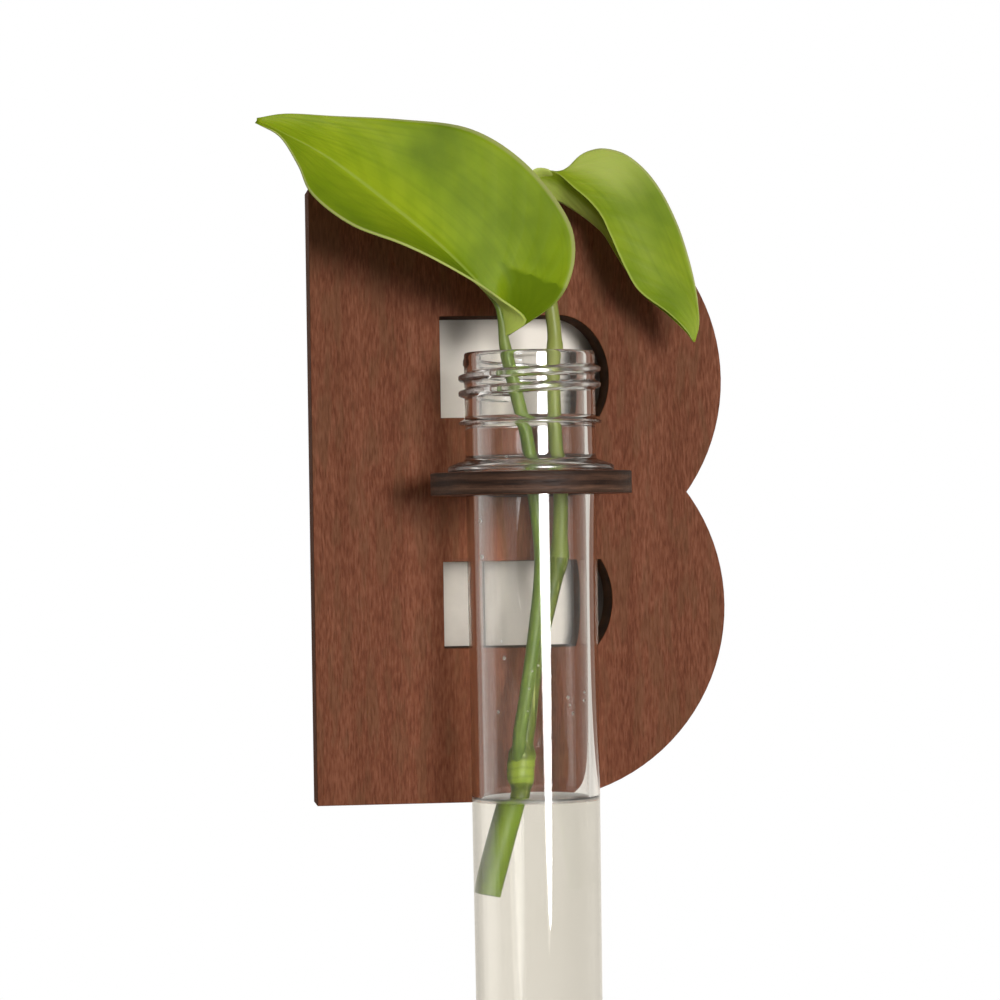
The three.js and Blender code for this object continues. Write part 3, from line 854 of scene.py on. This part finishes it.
def stalk(bm, line, radius_at):
    def ring_matrix(step):
        before = line[max(step - 1, 0)]
        after = line[min(step + 1, len(line) - 1)]
        along = (after - before).normalized()
        right = Vector((0, 1, 0)).cross(along).normalized()
        axes = Matrix((right, along.cross(right), along)).transposed().to_4x4()
        radius = radius_at(step / (len(line) - 1))
        return Matrix.Translation(line[step]) @ axes @ Matrix.Diagonal((radius, radius, radius, 1))

    ring = bmesh.ops.create_circle(bm, cap_ends=True, segments=20, radius=1.0, matrix=ring_matrix(0))
    verts = ring["verts"]
    edges = list({edge for vert in verts for edge in vert.link_edges})
    for step in range(1, len(line)):
        made = bmesh.ops.extrude_edge_only(bm, edges=edges)["geom"]
        verts = [part for part in made if isinstance(part, bmesh.types.BMVert)]
        edges = [part for part in made if isinstance(part, bmesh.types.BMEdge)]
        move = ring_matrix(step) @ ring_matrix(step - 1).inverted()
        bmesh.ops.transform(bm, matrix=move, verts=verts)
    bmesh.ops.contextual_create(bm, geom=edges)


def swell(share, middle, width, amount):
    return amount * math.exp(-((share - middle) / width) ** 2)


def put_stalk(name, line, radius_at, finish, node):
    bm = bmesh.new()
    stalk(bm, line, radius_at)
    bmesh.ops.recalc_face_normals(bm, faces=bm.faces)
    put_round_axis(bm)
    put_in_scene(name, bm, [finish], "cutting", [node])


living_skin = {
    "Specular IOR Level": 0.2,
    "Subsurface Weight": 0.1,
    "Subsurface Radius": (0.6, 1.0, 0.2),
    "Subsurface Scale": 0.001,
}
print("line and stalk helpers are ready")

# %% [markdown]
# The stem stands slanting in the tube with its cut end in the water. Just above the water it has a
# collar: a swelling with rings like those of bamboo, yellower than the rest. A darker band runs round
# its top, and the darker band just below it is painted shade under the swelling. Its skin is fibrous,
# with fine lines along it and paler patches, and yellower under water. At its top is the node where
# the right petiole grows.

# %% Stem
stem_points = [(-7.05, 2.84, -83.8), (-4.7, 3.2, -73.0), (-2.7, 3.5, -63.5), (-2.6, 3.6, -58.8),
               (-1.2, 3.8, -50.0), (0.6, 3.9, -38.0), (6.15, 3.42, -16.6)]
stem_steps = 120
stem_line = line_through(stem_points, stem_steps)
collar_share = next(step for step, place in enumerate(stem_line) if place.z > -59.0) / stem_steps


def stem_radius(share):
    radius = 2.05 - 0.3 * share
    for ring in range(3):
        radius += swell(share, collar_share - 0.027 + 0.03 * ring, 0.008, 0.06 + 0.04 * ring)
    radius += 0.85 * math.exp(-((share - collar_share) / 0.058) ** 6)
    return radius + swell(share, 0.98, 0.03, 0.35)


stem_finish, shader, place = new_finish("stem_skin")
level = split(place)["Z"]
fibres = cloudy(stretched(place, (1, 1, 0.05)), 1100.0, 3.0)
patches = cloudy(place, 140.0, 3.0)
under_water = between(level, water_high.z - 0.001, water_high.z + 0.0005, 0.85, 0.0)
collar_level = shelf_high.z - 0.0588
off_collar = maths("ABSOLUTE", maths("SUBTRACT", level, collar_level))
uneven = maths("MULTIPLY_ADD", patches, 0.003, level)
rings = maths("SINE", times(uneven, 3400.0))
near_collar = between(off_collar, 0.003, 0.004, 0.35, 0.0)
skin = layered(
    ramp(fibres, (0.3, colour(56, 70, 11)), (0.7, colour(94, 103, 30))),
    (between(patches, 0.45, 0.7, 0.0, 0.5), colour(112, 117, 47)),
    (between(fibres, 0.54, 0.68, 0.0, 0.5), colour(168, 170, 112)),
    (under_water, colour(92, 114, 0)),
    (between(off_collar, 0.0026, 0.0042, 0.8, 0.0), colour(124, 140, 38)),
    (times(between(rings, 0.1, 1.0), near_collar), colour(84, 98, 20)),
)
# Two darker bands: one at the top of the collar, and one just below it that is painted shade under the
# swelling.
for dark_level, reach, share in ((collar_level + 0.0028, 0.0016, 0.65), (collar_level - 0.0042, 0.0012, 0.6)):
    off_level = maths("ABSOLUTE", maths("SUBTRACT", uneven, dark_level + 0.0015))
    skin = mixed(between(off_level, reach * 0.4, reach, share, 0.0), skin, colour(58, 68, 10))
set_inputs(shader, {
    "Base Color": skin,
    "Roughness": between(patches, 0.3, 0.7, 0.38, 0.5),
    "Normal": bumped(fibres, 0.0001, 0.5),
    **living_skin,
})
put_stalk("stem_cutting", stem_line, stem_radius, stem_finish, "cutting_stem")

# %% [markdown]
# Each leaf hangs on a petiole, a thinner and smoother stalk. The left one leaves the stem low in the
# tube, bends round in front of it and leans out over the rim. The right one goes on from the top of
# the stem, with a small node at the level of the rim. Both reach just into the base of their leaf, and
# their skin is painted a deeper green down in the tube, as painted shade, than out in the light. The
# right one is the paler.

# %% Petioles
left_points = [(-3.1, 2.4, -57.4), (-2.9, 1.2, -52.0), (-1.8, 0.4, -45.3), (0.1, 0.4, -33.4),
               (1.79, 0.45, -18.0), (0.63, 0.45, -4.6), (-0.63, 0.0, 6.4), (-2.99, -0.45, 16.7),
               (-4.9, -1.1, 25.0), (-5.3, -1.5, 28.2), (-5.7, -1.8, 30.6), (-6.6, -2.1, 33.4),
               (-9.6, -2.8, 36.7)]
right_points = [(6.05, 3.42, -17.2), (6.6, 3.98, -4.7), (5.8, 4.43, 6.4), (5.55, 4.52, 18.4),
                (5.5, 4.9, 31.0), (1.3, 6.3, 57.2)]

petiole_finish, shader, place = new_finish("petiole_skin")
petiole_at = split(place)
fibres = cloudy(stretched(place, (1, 1, 0.04)), 1300.0, 3.0)
patches = cloudy(place, 120.0, 2.0)
right_one = between(petiole_at["X"], 0.0034, 0.0042, 0.0, 0.65)
# Painted shade: the petioles are darker down in the tube.
painted_shade_in_tube = between(petiole_at["Z"], shelf_high.z + 0.004, tube_high.z + 0.004, 0.55, 0.0)
skin = layered(
    ramp(fibres, (0.3, colour(82, 104, 26)), (0.7, colour(118, 134, 56))),
    (between(patches, 0.45, 0.75, 0.0, 0.5), colour(138, 148, 84)),
    (right_one, colour(152, 155, 80)),
    (painted_shade_in_tube, colour(60, 78, 18)),
)
set_inputs(shader, {
    "Base Color": skin,
    "Roughness": between(patches, 0.3, 0.7, 0.36, 0.48),
    "Normal": bumped(fibres, 0.0001, 0.4),
    **living_skin,
})


def left_radius(share):
    return (1.4 - 0.1 * share) * min(1.0, 0.2 + 5 * (1 - share))


def right_radius(share):
    return 1.6 - 0.3 * share + swell(share, 0.0, 0.04, 0.5) + swell(share, 0.56, 0.02, 0.28)


petiole_steps = 70
for hand, points, radius_at in (("left", left_points, left_radius), ("right", right_points, right_radius)):
    line = line_through(points, petiole_steps)
    put_stalk(hand + "_petiole", line, radius_at, petiole_finish, "petiole_" + hand)

# %% [markdown]
# A leaf blade is a thin sheet, folded along its midrib. It is made from a flat grid: one way along
# the grid runs from the base of the leaf to its tip, and the other from one margin over the midrib
# to the other margin. Each point of the grid is laid on the real leaf between three smooth lines,
# and the two halves are arched a little. The grid keeps its own coordinates as a UV map, so the veins
# can follow the blade. A Solidify modifier gives the sheet its thickness and a paler underside.

# %% Helpers for leaves
blade_thickness = 0.42 * mm
margin_wave = 0.2


def leaf_sheet(midrib, front_edge, back_edge, front_arch, back_arch):
    steps = 72
    across = 28
    lines = [line_through(points, steps) for points in (front_edge, midrib, back_edge)]
    bm = bmesh.new()
    uv = bm.loops.layers.uv.new("blade")
    half = bm.verts.layers.float.new("half")
    bmesh.ops.create_grid(bm, x_segments=steps, y_segments=across, size=0.5)
    for face in bm.faces:
        for loop in face.loops:
            loop[uv].uv = (loop.vert.co.x + 0.5, loop.vert.co.y + 0.5)
    for vert in bm.verts:
        step = round((vert.co.x + 0.5) * steps)
        share = 2 * vert.co.y
        middle = lines[1][step]
        edge = lines[0][step] if share < 0 else lines[2][step]
        along = lines[1][min(step + 1, steps)] - lines[1][max(step - 1, 0)]
        out = (edge - middle) if share > 0 else (middle - edge)
        top = along.cross(out)
        arch = front_arch if share < 0 else back_arch
        rise = arch * (edge - middle).length * math.sin(math.pi * abs(share) ** 0.8)
        wave = margin_wave * abs(share) ** 3 * math.sin(step / steps * 17 + 2 * share)
        lift = top.normalized() * (rise + wave) if top.length > 1e-6 else Vector((0, 0, 0))
        vert.co = middle.lerp(edge, abs(share)) + lift
        vert[half] = share
    return bm


def put_leaf(name, bm, finishes, node):
    bmesh.ops.recalc_face_normals(bm, faces=bm.faces)
    if sum((face.normal.z - face.normal.y) * face.calc_area() for face in bm.faces) < 0:
        bmesh.ops.reverse_faces(bm, faces=bm.faces)
    put_round_axis(bm)
    leaf = put_in_scene(name, bm, finishes, "cutting", [node], crisp=60)
    sheet = leaf.modifiers.new("thickness", "SOLIDIFY")
    sheet.thickness = blade_thickness
    sheet.offset = 0.0
    sheet.material_offset = 1
    sheet.material_offset_rim = 1


print("leaf helpers are ready")

# %% [markdown]
# The upper side of a leaf is a satin green that goes from yellow-green to deep green in soft clouds.
# The midrib is a thin pale line, faint side veins sweep from it towards the tip, and the margin is
# pale. Light and shade are painted in as well: a paler painted sheen on the shoulders of the small
# leaf, painted shade on the bent corner of the large one, and a deeper green painted as shade on the
# front half of the large leaf and of the undersides. The underside is a duller, paler green. The
# leaves share one node group for the pattern of the veins, which reads the blade's own UV map.

# %% Leaf finishes
veins, blade, veins_out = new_group("leaf_veins", "Blade", "Midrib", "Margin", "Veins", "Streaks", "Painted_sheen")
blade_at = split(blade)
along = blade_at["X"]
from_midrib = maths("ABSOLUTE", maths("MULTIPLY_ADD", blade_at["Y"], 2.0, -1.0))
wander = cloudy(blade, 5.0, 2.0)
phase = maths("MULTIPLY_ADD", along, 70.0, times(from_midrib, -26.0))
phase = maths("MULTIPLY_ADD", wander, 2.5, phase)
wave = maths("MULTIPLY_ADD", maths("SINE", phase), 0.5, 0.5)
off_base = between(along, 0.08, 0.2)
margin_line = between(from_midrib, 0.955, 0.985)
outer = between(from_midrib, 0.2, 0.6)
# The shoulder mask places the painted sheen of the small leaf.
upper = between(maths("MULTIPLY_ADD", wander, 0.12, along), 0.38, 0.58, 1.0, 0.0)
set_inputs(veins_out, {
    "Midrib": between(from_midrib, 0.01, 0.035, 1.0, 0.0),
    "Margin": times(margin_line, off_base),
    "Veins": between(wave, 0.4, 1.0),
    "Streaks": cloudy(stretched(blade, (2.5, 30, 1)), 1.0, 3.0),
    "Painted_sheen": times(outer, upper),
})


def leaf_finish(name, deep, middle, bright, margin, rib, shoulder_sheen=0.0):
    finish, shader, place = new_finish(name)
    pattern = use_group(veins, add_node(shader, "UVMap", uv_map="blade").outputs["UV"])
    clouds = cloudy(place, 48.0, 3.0)
    cells = cloudy(place, 2200.0, 2.0)
    # The front half is painted a deeper green as shade, except on the small leaf, which gets a painted sheen
    # on its shoulders instead.
    front_half_painted_shade = 0.3 - 0.3 * min(shoulder_sheen * 2, 1)
    green = layered(
        ramp(clouds, (0.29, deep), (0.47, middle), (0.64, bright)),
        (between(pattern["Streaks"], 0.4, 0.75, 0.0, 0.35), deep),
        (times(pattern["Veins"], 0.1), deep),
        (times(cells, 0.12), bright),
        (between(vertex_value(shader, "half"), -0.12, -0.01, front_half_painted_shade, 0.0), deep),
        (times(pattern["Painted_sheen"], shoulder_sheen), rib),
        (times(vertex_value(shader, "painted_crease_shade"), 0.75), deep),
        (times(pattern["Midrib"], 0.55), rib),
        (times(pattern["Margin"], 0.7), margin),
    )
    relief = maths("MULTIPLY_ADD", cells, 0.3, pattern["Veins"])
    set_inputs(shader, {
        "Base Color": green,
        "Roughness": between(clouds, 0.3, 0.7, 0.54, 0.44),
        "Normal": bumped(relief, 0.00025, 0.12),
        "Specular IOR Level": 0.07,
        "Subsurface Weight": 0.1,
        "Subsurface Radius": (0.5, 1.0, 0.1),
        "Subsurface Scale": 0.0008,
    })
    return finish


large_top = leaf_finish("large_leaf_top", colour(92, 116, 10), colour(126, 149, 16), colour(148, 166, 28),
                        colour(172, 174, 112), colour(156, 174, 76))
small_top = leaf_finish("small_leaf_top", colour(88, 112, 12), colour(116, 139, 20), colour(142, 160, 36),
                        colour(176, 178, 118), colour(176, 188, 92), 0.75)
underside = leaf_finish("leaf_underside", colour(152, 168, 66), colour(170, 184, 82), colour(182, 194, 98),
                        colour(178, 187, 108), colour(182, 194, 112))
print("leaf finishes:", large_top.name, small_top.name, underside.name)

# %% [markdown]
# The large leaf lies to the left. Its rear half faces the viewer, and its front half is folded
# forward. At the base two small forms give it life: the front half ends in a lobe that curls to the
# right and shows its pale underside, which comes from the front line's first points, and the rear
# half is creased, so that its lowest corner bends back. The crease is cut into the sheet with a
# plane, and the points past it are pushed back in proportion to their distance from it and marked,
# so that the finish paints shade on the bent corner.

# %% Large leaf
large_midrib = [(-4.9, -1.2, 26.8), (-6.1, -2, 32.9), (-10.3, -3, 37.2), (-17.8, -4, 44.5),
                (-27, -4.5, 52.2), (-40.2, -4, 62.5), (-53.4, -2, 69.7)]
large_front = [(-5.6, -1.6, 26.9), (-3.6, -3.6, 27.6), (-1.2, -5.4, 30.0), (-6.6, -7.2, 34.3),
               (-10.9, -12, 36.6), (-17.8, -15.5, 39.9), (-26.8, -17, 44.3), (-36.3, -15, 48.4),
               (-43.3, -11, 54.2), (-45.7, -7, 60.5), (-49, -4, 66.7), (-53.7, -2.2, 69.3)]
large_back = [(-4.1, -1.2, 27.1), (0.2, -4, 29.8), (6.1, -5, 34.6), (9, -4, 42.7), (7.5, -3, 50.8),
              (-0.4, -2, 61.2), (-11.2, -1, 68.1), (-25.1, -1, 70.1), (-38.9, -1.2, 70.7),
              (-47.8, -1.6, 71.1), (-53.4, -2, 70.2)]


def crease(bm, first, second, slope):
    """Bend the rear half back below the line through two places."""
    start = Vector(first)
    across = Vector(second) - start
    below = Vector((across.z, 0, -across.x)).normalized()
    half = bm.verts.layers.float["half"]
    painted_crease_shade = bm.verts.layers.float.new("painted_crease_shade")
    rear = [face for face in bm.faces if all(vert[half] > -1e-4 for vert in face.verts)]
    rear_edges = {edge for face in rear for edge in face.edges}
    rear_verts = {vert for face in rear for vert in face.verts}
    bmesh.ops.bisect_plane(bm, geom=[*rear_verts, *rear_edges, *rear], plane_co=start, plane_no=below)
    # The bent points are marked for painted shade in the finish.
    for vert in bm.verts:
        past = (vert.co - start).dot(below)
        if vert[half] > 1e-4 and past > 1e-5:
            reach = min(max((vert.co.x + 6.0) / 2.0, 0.0), 1.0)
            vert.co.y += slope * past * reach
            vert[painted_crease_shade] = reach


bm = leaf_sheet(large_midrib, large_front, large_back, 0.05, 0.06)
crease(bm, (-5.0, -4.0, 41.4), (5.4, -4.5, 37.1), 0.45)
put_leaf("large_leaf", bm, [large_top, underside], "leaf_left")

# %% [markdown]
# The small leaf hangs to the right. It is folded the other way: its crest runs down the left side,
# with the inner half folded back under it, so that only a narrow dark strip of that half shows.

# %% Small leaf
small_midrib = [(1.4, 6.4, 57.2), (2.2, 6.8, 60.4), (3.9, 6.9, 61), (5.9, 6.6, 60.5), (7.8, 6, 59.5),
                (10.2, 5, 57.1), (13.3, 4.2, 54.2), (15.6, 3.6, 51.1), (17.1, 3, 47.6), (20.1, 2.5, 40.6),
                (22.9, 2.2, 35.9), (28.4, 1.6, 31.6), (31.7, 1.2, 28.3), (33.5, 1.1, 25.6)]
small_front = [(1.9, 6.6, 57.6), (3.4, 8.6, 59.0), (5.6, 8.8, 59.2), (8, 7.4, 59.5), (9.7, 6.6, 61.3),
               (11.5, 6, 63.4), (13.7, 5.6, 64.5), (16.7, 5, 64.8), (20.8, 4.5, 63.5), (24.9, 4, 60),
               (28.2, 3.5, 55.2), (30.9, 3, 49.2), (32.5, 2.4, 43.8), (33.7, 2, 38.6), (34.4, 1.6, 34.2),
               (34.6, 1.2, 29.1), (33.5, 1.1, 25.6)]
small_back = [(0.9, 6.4, 57), (1.6, 8, 56.6), (3.2, 9.8, 55.9), (5.4, 11.2, 55.6), (8.5, 12, 54.8),
              (11.5, 11.5, 52.7), (14.2, 10.5, 50.4), (16.7, 8.5, 47.8), (18.2, 6.5, 45.1), (20.7, 5, 40.4),
              (23.3, 4, 35.6), (28.6, 2.6, 31.3), (31.9, 1.7, 28), (33.5, 1.1, 25.6)]
bm = leaf_sheet(small_midrib, small_front, small_back, 0.06, 0.04)
put_leaf("small_leaf", bm, [small_top, underside], "leaf_right")
